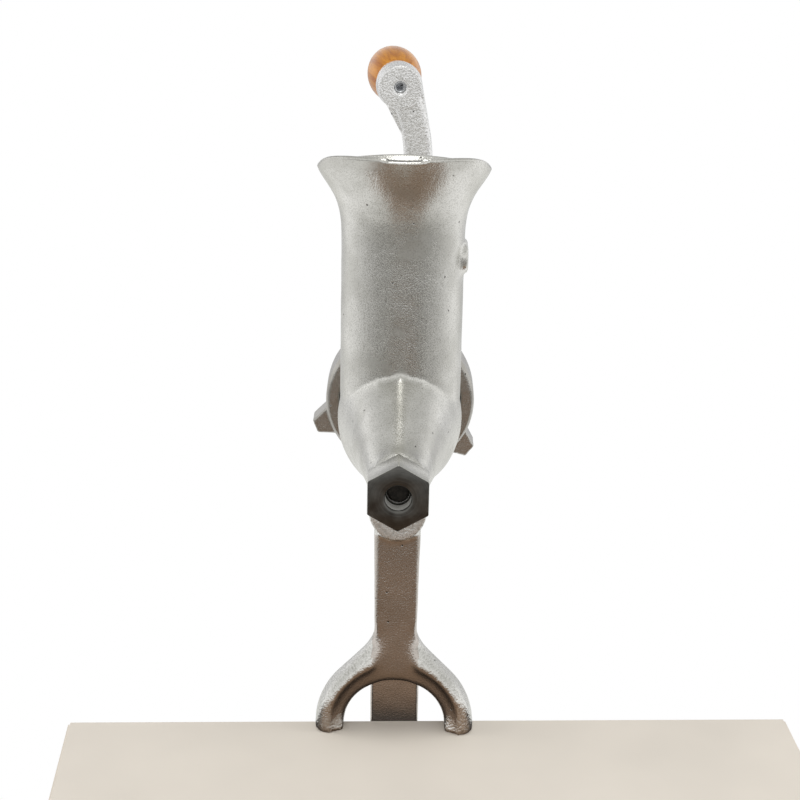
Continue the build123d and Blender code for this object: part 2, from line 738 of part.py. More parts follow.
# ---------------------------------------------------------------- crank
with BuildPart() as crank_arm:
    middle_y = arm_face_y + arm_thickness / 2
    half_level = axis_height + crank_throw / 2
    with BuildLine() as centre_line:
        lower_half = ThreePointArc(
            (0, middle_y, axis_height),
            (-crank_bow, middle_y, (axis_height + half_level) / 2),
            (0, middle_y, half_level),
        )
        upper_half = TangentArc(
            (0, middle_y, half_level),
            (crank_set, middle_y, crank_boss_level),
            tangent=lower_half % 1,
        )
    arm_start = Plane(
        origin=centre_line.line @ 0, x_dir=(0, 1, 0), z_dir=centre_line.line % 0
    )
    with BuildSketch(arm_start):
        RectangleRounded(arm_thickness, arm_width, arm_edge)
    sweep(path=centre_line.line)
    with BuildSketch(across(hub_face_y)):
        Circle(hub_radius)
    extrude(amount=-(arm_face_y + arm_thickness - hub_face_y))
    # The arm widens into the boss at its upper end
    root = upper_half @ (1 - arm_root_length / upper_half.length)
    with BuildSketch(across(arm_face_y + arm_root_inset)):
        with Locations((crank_set, crank_throw)):
            Circle(crank_boss_end_radius)
        with Locations((root.X, root.Z - axis_height)):
            Circle(arm_width / 2)
        make_hull()
    extrude(amount=-(arm_thickness - 2 * arm_root_inset))
    with BuildSketch(pin_profile):
        Polygon(
            (0, 0),
            (crank_boss_end_radius, 0),
            (crank_boss_radius, crank_boss_length / 2),
            (crank_boss_end_radius, crank_boss_length),
            (0, crank_boss_length),
            align=None,
        )
    revolve(axis=pin_axis)
    with BuildSketch(across(hub_face_y)):
        Circle(stud_journal_radius + press_gap)
        Rectangle(
            crank_square + 2 * press_gap, crank_square + 2 * press_gap, mode=Mode.INTERSECT
        )
    extrude(amount=-(arm_face_y + arm_thickness - hub_face_y), mode=Mode.SUBTRACT)
    with BuildSketch(pin_profile):
        Polygon(
            (0, -pin_countersink),
            (grip_pin_radius + pin_countersink, -pin_countersink),
            (grip_pin_radius + pin_countersink, 0),
            (grip_pin_radius + press_gap, pin_countersink),
            (grip_pin_radius + press_gap, 2 * crank_boss_length),
            (0, 2 * crank_boss_length),
            align=None,
        )
    revolve(axis=pin_axis, mode=Mode.SUBTRACT)
crank_arm.part.label = "crank_arm"

washer_y = arm_face_y + arm_thickness
with BuildPart() as crank_washer:
    with BuildSketch(across(washer_y)):
        Circle(crank_washer_radius)
        Circle(crank_screw_radius + washer_gap, mode=Mode.SUBTRACT)
    extrude(amount=-crank_washer_thickness)
crank_washer.part.label = "crank_washer"

with BuildPart() as crank_thumb_screw:
    thumb_y = washer_y + crank_washer_thickness
    screw_end_y = stud_end_y - stud_bore_depth + thumb_screw_clearance
    with BuildSketch(across(screw_end_y)):
        Circle(crank_screw_radius)
    extrude(amount=-(thumb_y - screw_end_y))
    with BuildSketch(across(thumb_y)):
        Circle(thumb_flange_radius)
    extrude(amount=-thumb_flange_height, taper=thumb_flange_taper)
    with BuildSketch(Plane.XY.offset(axis_height)):
        with Locations((0, thumb_y + thumb_wing_lift + thumb_wing_height / 2)):
            SlotOverall(2 * thumb_wing_reach, thumb_wing_height)
        with Locations((0, thumb_y + thumb_dish_lift)):
            Circle(thumb_dish_radius, mode=Mode.SUBTRACT)
    extrude(amount=thumb_wing_thickness / 2, both=True)
crank_thumb_screw.part.label = "crank_thumb_screw"

# ---------------------------------------------------------------- grip
grip_start = crank_boss_length + grip_washer_thickness + 2 * seat_gap
grip_stop = grip_start + grip_length
recess_floor = grip_stop - grip_recess_depth

with BuildPart() as grip:
    with BuildSketch(pin_profile):
        with BuildLine():
            Line((grip_pin_radius + running_gap, grip_start), (grip_end_radius, grip_start))
            Spline(
                (grip_end_radius, grip_start),
                (grip_belly_radius, grip_start + grip_belly_place),
                (grip_tail_radius, grip_stop - grip_tail_length),
                tangents=((grip_end_slope, 1), (-grip_tail_slope, 1)),
            )
            TangentArc(
                (grip_tail_radius, grip_stop - grip_tail_length),
                (grip_stop_radius, grip_stop),
                tangent=(-grip_tail_slope, 1),
            )
            Polyline(
                (grip_stop_radius, grip_stop),
                (grip_end_washer_radius + grip_recess_gap, grip_stop),
                (grip_end_washer_radius + grip_recess_gap, recess_floor),
                (grip_pin_radius + running_gap, recess_floor),
                (grip_pin_radius + running_gap, grip_start),
            )
        make_face()
    revolve(axis=pin_axis)
grip.part.label = "grip"

with BuildPart() as grip_washer:
    with BuildSketch(pin_profile):
        with Locations((grip_pin_radius + press_gap, grip_start - seat_gap)):
            Rectangle(
                grip_washer_radius - grip_pin_radius,
                grip_washer_thickness,
                align=(Align.MIN, Align.MAX),
            )
    revolve(axis=pin_axis)
grip_washer.part.label = "grip_washer"

with BuildPart() as grip_end_washer:
    with BuildSketch(pin_profile):
        with Locations((grip_pin_radius + press_gap, recess_floor + seat_gap)):
            Rectangle(
                grip_end_washer_radius - grip_pin_radius,
                grip_washer_thickness,
                align=(Align.MIN, Align.MIN),
            )
    revolve(axis=pin_axis)
grip_end_washer.part.label = "grip_end_washer"

with BuildPart() as grip_pin:
    head_start = recess_floor + 2 * seat_gap + grip_washer_thickness
    with BuildSketch(pin_profile):
        Polygon(
            (0, pin_countersink / 2),
            (grip_pin_radius, pin_countersink),
            (grip_pin_radius, head_start),
            (grip_head_radius, head_start),
            (grip_head_radius - grip_head_edge, head_start + grip_head_height),
            (0, head_start + grip_head_height),
            align=None,
        )
    revolve(axis=pin_axis)
grip_pin.part.label = "grip_pin"

# ---------------------------------------------------------------- clamp screw
with BuildPart() as clamp_pad:
    with BuildSketch(screw_profile):
        Polygon(
            (spindle_tip_radius + running_gap, pad_bottom),
            (clamp_pad_radius - clamp_pad_edge, pad_bottom),
            (clamp_pad_radius, pad_bottom + clamp_pad_edge),
            (clamp_pad_radius, pad_top),
            (pad_recess_radius, pad_top),
            (pad_recess_radius, pad_top - pad_recess_depth),
            (spindle_tip_radius + running_gap, pad_top - pad_recess_depth),
            align=None,
        )
    revolve(axis=screw_axis)
clamp_pad.part.label = "clamp_pad"

with BuildPart() as clamp_spindle:
    tip_top = pad_top - pad_recess_depth + seat_gap + retainer_thickness
    with BuildSketch(screw_profile):
        Polygon(
            (0, tip_top),
            (spindle_tip_radius, tip_top),
            (spindle_tip_radius, pad_bottom - seat_gap),
            (spindle_radius, pad_bottom - seat_gap),
            (spindle_radius, wing_top + seat_gap),
            (wing_bore_radius - press_gap, wing_top + seat_gap),
            (wing_bore_radius - press_gap, spindle_bottom + seat_gap),
            (0, spindle_bottom + seat_gap),
            align=None,
        )
    revolve(axis=screw_axis)
clamp_spindle.part.label = "clamp_spindle"

with BuildPart() as pad_retainer:
    with BuildSketch(Plane.XY.offset(pad_top - pad_recess_depth + seat_gap)):
        with Locations((0, screw_y)):
            Circle(retainer_radius)
            Circle(spindle_tip_radius + press_gap, mode=Mode.SUBTRACT)
    extrude(amount=retainer_thickness)
pad_retainer.part.label = "pad_retainer"

with BuildPart() as clamp_wing_head:
    with BuildSketch(Plane.XY.offset(wing_top)):
        with Locations((0, screw_y)):
            Circle(wing_hub_radius)
    extrude(amount=-wing_hub_height)
    with BuildSketch(screw_profile):
        with Locations((0, wing_top - wing_drop - wing_height / 2)):
            SlotOverall(2 * wing_reach, wing_height)
        with Locations((0, wing_top - wing_dish_drop)):
            Circle(wing_dish_radius, mode=Mode.SUBTRACT)
    extrude(amount=wing_thickness / 2, both=True)
    with BuildSketch(Plane.XY.offset(wing_top)):
        with Locations((0, screw_y)):
            Circle(wing_bore_radius)
    extrude(amount=-wing_bore_depth, mode=Mode.SUBTRACT)
clamp_wing_head.part.label = "clamp_wing_head"

# ---------------------------------------------------------------- one file for each piece
pieces = [
    body_casting, plate_key_pin, thrust_washer, auger, neck_nut, drive_stud, knife, cutting_plate,
    ring_nut, crank_arm, crank_washer, crank_thumb_screw, grip, grip_pin, grip_washer,
    grip_end_washer, clamp_pad, clamp_spindle, pad_retainer, clamp_wing_head,
]
os.makedirs("parts", exist_ok=True)
for piece in pieces:
    export_step(piece.part, f"parts/{piece.part.label}.step")
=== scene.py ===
"""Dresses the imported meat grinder: soft cast forms, finishes and a plain studio.

Everything is in metres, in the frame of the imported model: +Z up, the table top at Z = 0 and the
shaft along Y, with its neck end at -Y. A name that ends in _mm is in millimetres.
"""

import json
import math

import bmesh
import bpy
from mathutils import Matrix, Vector

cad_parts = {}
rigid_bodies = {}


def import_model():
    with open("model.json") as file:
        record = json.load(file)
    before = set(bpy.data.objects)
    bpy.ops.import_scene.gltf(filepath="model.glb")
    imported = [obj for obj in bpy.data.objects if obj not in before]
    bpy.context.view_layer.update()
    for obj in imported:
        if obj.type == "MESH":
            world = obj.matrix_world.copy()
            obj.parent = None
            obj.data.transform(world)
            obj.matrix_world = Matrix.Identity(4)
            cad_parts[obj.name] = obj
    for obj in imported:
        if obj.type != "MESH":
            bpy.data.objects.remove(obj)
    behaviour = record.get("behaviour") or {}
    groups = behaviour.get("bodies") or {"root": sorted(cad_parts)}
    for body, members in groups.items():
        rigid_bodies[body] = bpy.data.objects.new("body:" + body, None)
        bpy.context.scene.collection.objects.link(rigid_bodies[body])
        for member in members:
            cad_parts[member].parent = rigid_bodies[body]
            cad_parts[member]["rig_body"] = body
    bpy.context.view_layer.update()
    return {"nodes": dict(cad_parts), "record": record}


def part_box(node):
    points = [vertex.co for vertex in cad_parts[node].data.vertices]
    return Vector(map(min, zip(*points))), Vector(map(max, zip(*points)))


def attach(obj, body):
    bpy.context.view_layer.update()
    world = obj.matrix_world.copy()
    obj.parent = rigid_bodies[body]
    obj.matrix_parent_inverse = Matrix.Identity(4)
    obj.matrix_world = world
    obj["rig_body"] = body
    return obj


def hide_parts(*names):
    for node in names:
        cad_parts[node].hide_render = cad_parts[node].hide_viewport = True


bl_info = {
    "name": "Hand Crank Meat Grinder",
    "version": (1, 0, 0),
    "blender": (4, 5, 0),
    "location": "View3D > Sidebar > Grinder",
    "description": "Dresses a table-clamped meat grinder in tinned cast iron and lacquered wood",
    "category": "Object",
}

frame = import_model()
MM = 0.001
WHITE = (1.0, 1.0, 1.0, 1.0)
BLACK = (0.0, 0.0, 0.0, 1.0)

# Sockets of a node that mixes two colours; by name they would be those for two numbers
SHARE, FIRST, SECOND, MIXED = 0, 6, 7, 2

BODY_OF = {name: piece["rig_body"] for name, piece in frame["nodes"].items()}
SLOT_OF = {part["node"]: part["material_slot"] for part in frame["record"]["subparts"]}


def middle(name):
    """The middle of a CAD node's box."""
    low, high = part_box(name)
    return (low + high) / 2


SHAFT = middle("neck_nut")                  # a point on the shaft's axis
SCREW = middle("clamp_spindle")             # a point on the clamp screw's axis


# ---------------------------------------------------------------- colours and nodes
def linear(colour):
    """An sRGB hex colour, such as '#cfcdc8', as linear RGBA."""
    shares = [int(colour[i:i + 2], 16) / 255 for i in (1, 3, 5)]
    return [s / 12.92 if s <= 0.04045 else ((s + 0.055) / 1.055) ** 2.4 for s in shares] + [1.0]


def dimmed(colour, share):
    """A linear colour with that share of its light."""
    return [share * part for part in colour[:3]] + [1.0]


def blended(colour, other, share):
    """A linear colour with that share of another in it."""
    return [part + share * (goal - part) for part, goal in zip(colour, other)]


def feed(tree, node, inputs):
    """Gives a node's inputs a value each, or a socket to link from."""
    for name, value in inputs.items():
        if isinstance(value, bpy.types.NodeSocket):
            tree.links.new(value, node.inputs[name])
        else:
            node.inputs[name].default_value = value


def add(tree, kind, inputs=None, stops=(), **settings):
    """Adds a node with its settings and inputs. The stops are the places and colours of a ramp."""
    node = tree.nodes.new("ShaderNode" + kind)
    for name, value in settings.items():
        setattr(node, name, value)
    feed(tree, node, inputs or {})
    for index, (position, colour) in enumerate(stops):
        elements = node.color_ramp.elements
        element = elements[index] if index < len(elements) else elements.new(position)
        element.position = position
        element.color = colour
    return node


def blank_material(name):
    """A material with only a Principled shader and its output."""
    material = bpy.data.materials.new(name)
    material.use_nodes = True
    tree = material.node_tree
    tree.nodes.clear()
    shader = add(tree, "BsdfPrincipled")
    add(tree, "OutputMaterial", {"Surface": shader.outputs["BSDF"]})
    return material, tree, shader


# ---------------------------------------------------------------- sizes and colours
# What the property of every colour has besides its name, description and default
COLOUR = {"subtype": "COLOR", "size": 4, "min": 0, "max": 1}


class GrinderCasting(bpy.types.PropertyGroup):
    """The tinned castings."""

    grid: bpy.props.FloatProperty(
        name="Grid", description="Grid on which the castings are made soft, in millimetres",
        default=1.1, min=0.4, max=4.0)
    soften: bpy.props.IntProperty(
        name="Softening", description="Smoothing passes, which set how round the cast corners are",
        default=5, min=1, max=40)
    fork_soften: bpy.props.IntProperty(
        name="Fork softening", description="Further passes where the prongs run into the leg",
        default=80, min=0, max=200)
    keel_soften: bpy.props.IntProperty(
        name="Keel softening", description="Further passes on the keel between hopper and neck",
        default=110, min=0, max=200)
    wave: bpy.props.FloatProperty(
        name="Wave", description="How far the sand mould's surface wanders, in millimetres",
        default=0.10, min=0.0, max=1.0)
    grain: bpy.props.FloatProperty(
        name="Sand grain", description="Size of the sand's grain in the surface, in millimetres",
        default=0.7, min=0.1, max=5.0)
    grain_depth: bpy.props.FloatProperty(
        name="Grain depth", description="Depth of the sand's grain, in millimetres",
        default=0.045, min=0.0, max=1.0)
    bright: bpy.props.FloatVectorProperty(
        name="Bright tin", description="Colour of the tin where it lies thick",
        default=linear("#e2e1dc"), **COLOUR)
    dull: bpy.props.FloatVectorProperty(
        name="Dull tin", description="Colour of the tin where it ran thin",
        default=linear("#cfcec8"), **COLOUR)
    # Painted shade in the hollows between the sand's grains
    shade: bpy.props.FloatVectorProperty(
        name="Grain shade", description="Colour between the grains",
        default=linear("#a3a19a"), **COLOUR)
    turned: bpy.props.FloatVectorProperty(
        name="Turned iron", description="Colour of iron that was turned after it was tinned",
        default=linear("#6e6d69"), **COLOUR)


class GrinderMetal(bpy.types.PropertyGroup):
    """The steel pieces and the threads."""

    steel: bpy.props.FloatVectorProperty(
        name="Steel", description="Colour of the turned and ground steel",
        default=linear("#c4c6c8"), **COLOUR)
    lead: bpy.props.FloatProperty(
        name="Thread pitch", description="Pitch of the clamp screw's thread, in millimetres",
        default=3.0, min=0.5, max=8.0)
    thread_depth: bpy.props.FloatProperty(
        name="Thread depth", description="Depth of the clamp screw's thread, in millimetres",
        default=0.9, min=0.1, max=3.0)
    grid: bpy.props.FloatProperty(
        name="Grid", description="Grid on which the clamp screw is meshed, in millimetres",
        default=0.42, min=0.2, max=2.0)
    thumb_radius: bpy.props.FloatProperty(
        name="Thumb screw radius", description="Radius of the thumb screw's shank, in millimetres",
        default=4.0, min=1.0, max=10.0)
    thumb_lead: bpy.props.FloatProperty(
        name="Thumb screw pitch", description="Pitch of the thumb screw's thread, in millimetres",
        default=1.25, min=0.3, max=4.0)
    thumb_depth: bpy.props.FloatProperty(
        name="Thumb thread depth", description="Depth of the thumb screw's thread, in millimetres",
        default=0.6, min=0.1, max=2.0)


class GrinderWood(bpy.types.PropertyGroup):
    """The lacquered grip."""

    pale: bpy.props.FloatVectorProperty(
        name="Pale wood", description="Colour of the early wood under the lacquer",
        default=linear("#d08a22"), **COLOUR)
    dark: bpy.props.FloatVectorProperty(
        name="Dark wood", description="Colour of the late wood under the lacquer",
        default=linear("#a96418"), **COLOUR)
    fleck: bpy.props.FloatProperty(
        name="Fleck", description="Width of the grain's lines, in millimetres",
        default=1.1, min=0.2, max=8.0)


class GrinderStage(bpy.types.PropertyGroup):
    """The studio."""

    camera_place: bpy.props.FloatVectorProperty(
        name="Camera", description="Where the camera stands",
        subtype="TRANSLATION", unit="LENGTH", default=(0.0, -0.832, 0.4486))
    camera_pitch: bpy.props.FloatProperty(
        name="Pitch", description="How far the camera looks down",
        subtype="ANGLE", default=math.radians(18.66))
    camera_roll: bpy.props.FloatProperty(
        name="Roll", description="How far the camera leans to its left",
        subtype="ANGLE", default=math.radians(1.1))
    lens: bpy.props.FloatProperty(
        name="Lens", description="Focal length for a 36 mm sensor, in millimetres",
        unit="CAMERA", default=83.25)
    board_width: bpy.props.FloatProperty(
        name="Board width", description="Width of the pale board that the feet stand on",
        unit="LENGTH", default=0.36)
    board_depth: bpy.props.FloatProperty(
        name="Board depth", description="Depth of the board in front of the clamp",
        unit="LENGTH", default=0.09)
    board_thickness: bpy.props.FloatProperty(
        name="Board thickness", description="Thin enough to clear the clamp when it is screwed up",
        unit="LENGTH", default=0.0055)
    board_turn: bpy.props.FloatProperty(
        name="Board turn", description="How far the board is turned in plan",
        subtype="ANGLE", default=math.radians(2.8))
    board_shift: bpy.props.FloatProperty(
        name="Board shift", description="How far the board lies to the right of the feet",
        unit="LENGTH", default=0.018)
    board: bpy.props.FloatVectorProperty(
        name="Board colour", description="Colour of the plain pale board",
        default=linear("#e4dccf"), **COLOUR)
    far_floor: bpy.props.FloatVectorProperty(
        name="Far floor", description="What the metal mirrors from the unlit floor far in front",
        default=linear("#33312e"), **COLOUR)
    floor: bpy.props.FloatVectorProperty(
        name="Floor", description="What it mirrors from the floor less far away",
        default=linear("#6b6a65"), **COLOUR)
    near_floor: bpy.props.FloatVectorProperty(
        name="Near floor", description="What it mirrors from the floor just in front of the board",
        default=linear("#b6b5b0"), **COLOUR)
    backdrop: bpy.props.FloatVectorProperty(
        name="Backdrop", description="What it mirrors from the wall behind, above the horizon",
        default=linear("#c4c4c6"), **COLOUR)
    floor_behind: bpy.props.FloatVectorProperty(
        name="Floor behind", description="What it mirrors from the floor behind",
        default=linear("#ecece9"), **COLOUR)
    overhead: bpy.props.FloatVectorProperty(
        name="Overhead", description="What the metal mirrors from the ceiling",
        default=linear("#cfcfcd"), **COLOUR)
    # The card glows: a painted reflection of a lit brown board
    card: bpy.props.FloatVectorProperty(
        name="Brown card",
        description="Tone of the card that the metal mirrors in the board's place",
        default=linear("#786350"), **COLOUR)
    card_depth: bpy.props.FloatProperty(
        name="Card depth", description="How far that card reaches forward",
        unit="LENGTH", default=0.42)
    key_power: bpy.props.FloatProperty(
        name="Key light", description="Power of each soft light at the sides, in watts",
        unit="POWER", default=3.0)
    top_power: bpy.props.FloatProperty(
        name="Top light", description="Power of the soft light above, in watts",
        unit="POWER", default=1.3)


# ---------------------------------------------------------------- materials
def tinned_cast_iron(name, look, grain_share=1.0, dullness=0.25, tint=("#ffffff", 0.0),
                     matt=0.0, relief=1.0):
    """Sand-cast iron dipped in molten tin: a bright skin that still shows the grain of the sand,
    with painted shade between the grains, duller where the tin ran thin, with a few gas pits. A
    tint mixed into the tin paints light or shade: brown is a painted reflection of a brown board,
    white is painted light. A coarse casting has more relief and scatters a matt share of the light."""
    swell_mm, patch_mm, pit_spacing_mm = 7, 22, 9
    material, tree, shader = blank_material(name)
    place = add(tree, "TexCoord").outputs["Object"]
    # Moulding sand is about half as coarse as the grain drawn here, and wouldn't show
    grain_size = look.grain * grain_share * MM
    grain = add(tree, "TexNoise", {"Vector": place, "Scale": 1 / grain_size, "Detail": 2.5})
    swell = add(tree, "TexNoise", {"Vector": place, "Scale": 1 / (swell_mm * MM), "Detail": 1.0})
    patch = add(tree, "TexNoise", {"Vector": place, "Scale": 1 / (patch_mm * MM), "Detail": 3.0})
    pits = add(tree, "TexVoronoi", {"Vector": place, "Scale": 1 / (pit_spacing_mm * MM)})
    pit = add(tree, "MapRange", {"Value": pits.outputs["Distance"], "From Min": 0.03,
                                 "From Max": 0.07, "To Min": 1.0, "To Max": 0.0})
    # The tint paints light or shade into the tin: brown for a painted reflection of a brown board,
    # white for painted light
    dull, bright = (blended(tone, linear(tint[0]), tint[1]) for tone in (look.dull, look.bright))
    tin = add(tree, "ValToRGB", {"Fac": patch.outputs["Fac"]},
              stops=((0.38, dull), (0.58, bright)))
    # Painted shade: the grain's hollows take the grain shade colour
    hollow = add(tree, "MapRange", {"Value": grain.outputs["Fac"], "From Min": 0.32,
                                    "From Max": 0.52, "To Min": 0.5, "To Max": 0.0})
    colour = add(tree, "Mix", {SHARE: hollow.outputs[0], FIRST: tin.outputs["Color"],
                               SECOND: look.shade}, data_type="RGBA")
    pitted = add(tree, "Mix", {SHARE: pit.outputs[0], FIRST: colour.outputs[MIXED],
                               SECOND: linear("#4c4843")}, data_type="RGBA")
    rough = add(tree, "MapRange", {"Value": patch.outputs["Fac"], "From Min": 0.35,
                                   "From Max": 0.65, "To Min": 1.15 * dullness,
                                   "To Max": 0.85 * dullness})
    wave = add(tree, "Bump", {"Height": swell.outputs["Fac"], "Distance": 0.12 * MM,
                              "Strength": 0.6})
    grit = add(tree, "Bump", {"Height": grain.outputs["Fac"], "Normal": wave.outputs["Normal"],
                              "Distance": 3 * relief * look.grain_depth * grain_share * MM,
                              "Strength": 0.8})
    hole = add(tree, "Bump", {"Height": pit.outputs[0], "Normal": grit.outputs["Normal"],
                              "Distance": 0.3 * MM, "Strength": 0.7}, invert=True)
    feed(tree, shader, {"Base Color": pitted.outputs[MIXED], "Roughness": rough.outputs[0],
                        "Normal": hole.outputs["Normal"], "Metallic": 1.0 - matt})
    return material


def turned_iron(name, look, centre):
    """Cast iron faced on a lathe: bare, darker than the tin, with fine rings round the axis that
    spread the light into a fan."""
    # The tool's feed was about 0.2 mm. The rings are four times as coarse, so that they show
    ring_mm, stain_mm = 4 * 0.2, 5
    material, tree, shader = blank_material(name)
    place = add(tree, "TexCoord").outputs["Object"]
    offset = add(tree, "VectorMath", {0: place, 1: centre}, operation="SUBTRACT")
    flat = add(tree, "VectorMath", {0: offset.outputs[0], 1: (1.0, 0.0, 1.0)},
               operation="MULTIPLY")
    radius = add(tree, "VectorMath", {0: flat.outputs[0]}, operation="LENGTH").outputs["Value"]
    rings = add(tree, "CombineXYZ", {"X": radius})
    cut = add(tree, "TexNoise", {"Vector": rings.outputs[0], "Scale": 1 / (ring_mm * MM),
                                 "Detail": 3.0})
    stain = add(tree, "TexNoise", {"Vector": place, "Scale": 1 / (stain_mm * MM), "Detail": 4.0})
    both = add(tree, "Math", {0: cut.outputs["Fac"], 1: stain.outputs["Fac"]}, operation="ADD")
    mean = add(tree, "Math", {0: both.outputs[0], 1: 0.5}, operation="MULTIPLY")
    colour = add(tree, "ValToRGB", {"Fac": mean.outputs[0]},
                 stops=((0.35, dimmed(look.turned, 0.55)), (0.65, look.turned)))
    rough = add(tree, "MapRange", {"Value": stain.outputs["Fac"], "From Min": 0.3,
                                   "From Max": 0.7, "To Min": 0.30, "To Max": 0.45})
    lines = add(tree, "Bump", {"Height": cut.outputs["Fac"], "Distance": 0.12 * MM,
                               "Strength": 0.7})
    around = add(tree, "Tangent", direction_type="RADIAL", axis="Y")
    feed(tree, shader, {"Base Color": colour.outputs["Color"], "Roughness": rough.outputs[0],
                        "Normal": lines.outputs["Normal"], "Tangent": around.outputs[0],
                        "Anisotropic": 0.4, "Metallic": 1.0})
    return material


def ground_steel(name, metal):
    """Carbon steel, turned and ground: smooth and cool grey, with faint short lines that the tool
    left across the shaft's direction."""
    line_mm, line_thinness, cloud_mm = 4, 12.0, 9
    material, tree, shader = blank_material(name)
    place = add(tree, "TexCoord").outputs["Object"]
    stretch = add(tree, "Mapping", {"Vector": place, "Scale": (1.0, line_thinness, 1.0)})
    lines = add(tree, "TexNoise", {"Vector": stretch.outputs[0], "Scale": 1 / (line_mm * MM),
                                   "Detail": 4.0})
    cloud = add(tree, "TexNoise", {"Vector": place, "Scale": 1 / (cloud_mm * MM), "Detail": 2.0})
    colour = add(tree, "ValToRGB", {"Fac": cloud.outputs["Fac"]},
                 stops=((0.3, dimmed(metal.steel, 0.72)), (0.6, metal.steel)))
    rough = add(tree, "MapRange", {"Value": lines.outputs["Fac"], "From Min": 0.3,
                                   "From Max": 0.7, "To Min": 0.2, "To Max": 0.36})
    relief = add(tree, "Bump", {"Height": lines.outputs["Fac"], "Distance": 0.03 * MM,
                                "Strength": 0.5})
    feed(tree, shader, {"Base Color": colour.outputs["Color"], "Roughness": rough.outputs[0],
                        "Normal": relief.outputs["Normal"], "Metallic": 1.0})
    return material


def oiled_iron(name):
    """Bare cast iron under a film of old oil: nearly black, and duller than the tin, as on the
    auger's turned end."""
    film_mm = 2
    material, tree, shader = blank_material(name)
    place = add(tree, "TexCoord").outputs["Object"]
    film = add(tree, "TexNoise", {"Vector": place, "Scale": 1 / (film_mm * MM), "Detail": 3.0})
    colour = add(tree, "ValToRGB", {"Fac": film.outputs["Fac"]},
                 stops=((0.35, linear("#1d1b18")), (0.65, linear("#35312c"))))
    feed(tree, shader, {"Base Color": colour.outputs["Color"], "Roughness": 0.55,
                        "Metallic": 0.6})
    return material


def lacquered_beech(name, wood, along):
    """Turned beech under a clear golden lacquer: long streaks and short flecks along the grip,
    under a glossy coat."""
    streak_mm, fleck_mm, along_share = 3.2 * wood.fleck, 0.5 * wood.fleck, 0.07
    material, tree, shader = blank_material(name)
    place = add(tree, "TexCoord").outputs["Object"]
    turn = along.to_track_quat("Z", "Y").inverted().to_euler()
    straight = add(tree, "Mapping", {"Vector": place, "Rotation": turn})
    stretched = add(tree, "Mapping", {"Vector": straight.outputs[0],
                                      "Scale": (1.0, 1.0, along_share)})
    streaks = add(tree, "TexNoise", {"Vector": stretched.outputs[0],
                                     "Scale": 1 / (streak_mm * MM), "Detail": 4.0,
                                     "Distortion": 0.3})
    flecks = add(tree, "TexNoise", {"Vector": stretched.outputs[0],
                                    "Scale": 1 / (fleck_mm * MM), "Detail": 2.0})
    base = add(tree, "ValToRGB", {"Fac": streaks.outputs["Fac"]},
               stops=((0.32, wood.dark), (0.62, wood.pale)))
    mask = add(tree, "MapRange", {"Value": flecks.outputs["Fac"], "From Min": 0.55,
                                  "From Max": 0.72, "To Min": 0.0, "To Max": 0.45})
    colour = add(tree, "Mix", {SHARE: mask.outputs[0], FIRST: base.outputs["Color"],
                               SECOND: wood.dark}, data_type="RGBA", blend_type="MULTIPLY")
    pores = add(tree, "Bump", {"Height": flecks.outputs["Fac"], "Distance": 0.05 * MM,
                               "Strength": 0.4})
    feed(tree, shader, {"Base Color": colour.outputs[MIXED], "Normal": pores.outputs["Normal"],
                        "Roughness": 0.38, "Specular IOR Level": 0.15, "Coat Weight": 0.45,
                        "Coat Roughness": 0.08, "Coat IOR": 1.35})
    return material


def pressed_fibre(name):
    """Vulcanised fibre: dull red-brown sheet, faintly mottled and slightly waxy."""
    mottle_mm = 1.5
    material, tree, shader = blank_material(name)
    place = add(tree, "TexCoord").outputs["Object"]
    mottle = add(tree, "TexNoise", {"Vector": place, "Scale": 1 / (mottle_mm * MM),
                                    "Detail": 4.0})
    colour = add(tree, "ValToRGB", {"Fac": mottle.outputs["Fac"]},
                 stops=((0.35, linear("#5f3325")), (0.65, linear("#7c4632"))))
    feed(tree, shader, {"Base Color": colour.outputs["Color"], "Roughness": 0.6})
    return material


# ---------------------------------------------------------------- pieces
def dress(name, mesh, node, *materials):
    """Puts a new mesh in the place of a CAD node."""
    piece = bpy.data.objects.new(name, mesh)
    bpy.context.scene.collection.objects.link(piece)
    mesh.materials.clear()
    for material in materials:
        mesh.materials.append(material)
    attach(piece, BODY_OF[node])
    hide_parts(node)


def finish_node(node, material):
    """Gives a CAD node its material, and keeps its shape."""
    piece = frame["nodes"][node]
    piece.data.materials.clear()
    piece.data.materials.append(material)


def modified(mesh, add_modifiers):
    """The mesh that results from the modifiers which a function adds to an object."""
    source = bpy.data.objects.new("source", mesh)
    bpy.context.scene.collection.objects.link(source)
    add_modifiers(source)
    graph = bpy.context.evaluated_depsgraph_get()
    result = bpy.data.meshes.new_from_object(source.evaluated_get(graph), depsgraph=graph)
    bpy.data.objects.remove(source)
    return result


def cad_mesh(node):
    """A copy of a CAD node's own mesh."""
    return frame["nodes"][node].data.copy()


def add_grid(source, size_mm):
    """Adds the modifier that lays an even grid over a CAD form."""
    grid = source.modifiers.new("grid", "REMESH")
    grid.mode = "VOXEL"
    grid.voxel_size = size_mm * MM


def add_group(source, name, share_of):
    """Adds a vertex group with the share that a function gives for each vertex's place."""
    group = source.vertex_groups.new(name=name)
    for vertex in source.data.vertices:
        share = share_of(vertex.co)
        if share > 0:
            group.add([vertex.index], share, "REPLACE")
    return group.name


def soft_casting(node, look, grid_share=1.0):
    """A casting's mesh: the CAD form with rounded corners and the slow wander of a sand mould."""
    def add_modifiers(source):
        add_grid(source, look.grid * grid_share)
        round_off = source.modifiers.new("round off", "SMOOTH")
        round_off.iterations = look.soften
        wander = source.modifiers.new("wander", "DISPLACE")
        wander.texture = sand_texture("sand wander", size_mm=9)
        wander.texture_coords = "GLOBAL"
        # The middle tone stays in place, so the surface wanders as far out as in
        wander.mid_level = 0.5
        wander.strength = look.wave * 2 * MM
    mesh = modified(cad_mesh(node), add_modifiers)
    mesh.shade_smooth()
    return mesh


def sand_texture(name, size_mm):
    """Soft lumps of about that size."""
    texture = bpy.data.textures.get(name) or bpy.data.textures.new(name, "CLOUDS")
    texture.noise_scale = size_mm * MM
    texture.noise_depth = 1
    return texture


